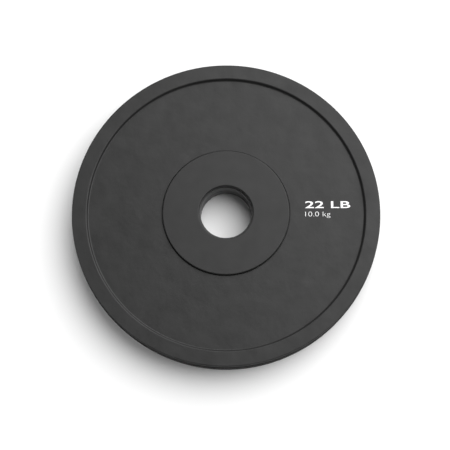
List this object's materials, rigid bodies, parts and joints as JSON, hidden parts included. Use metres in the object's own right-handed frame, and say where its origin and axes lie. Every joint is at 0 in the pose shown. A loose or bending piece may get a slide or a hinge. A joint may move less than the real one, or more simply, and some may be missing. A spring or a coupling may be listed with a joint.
{
  "type": "weight plate",
  "caption": "Round 10 kg barbell weight plate: cast-iron core in a black rubber cover, raised rim, recessed web, steel hub discs and a bushed bore for a 50 mm sleeve.",
  "frame": {"origin": "on the bore's axis, in the plane of the back rim face that the plate lies on", "axes": "+Z along the bore's axis out of the front face, +X towards the weight mark on the front face, +Y across it"},
  "size_m": [0.3062, 0.3062, 0.032],
  "materials": {
    "rubber": "matte",
    "hub_coating": "matte",
    "bush_steel": "satin",
    "cast_iron": "matte",
    "white_ink": "matte"
  },
  "bodies": {
    "root": {"iron_core": "cast_iron", "front_cover": "rubber", "back_cover": "rubber", "front_hub_disc": "hub_coating", "back_hub_disc": "hub_coating", "front_bush": "bush_steel", "back_bush": "bush_steel"}
  },
  "joints": []
}
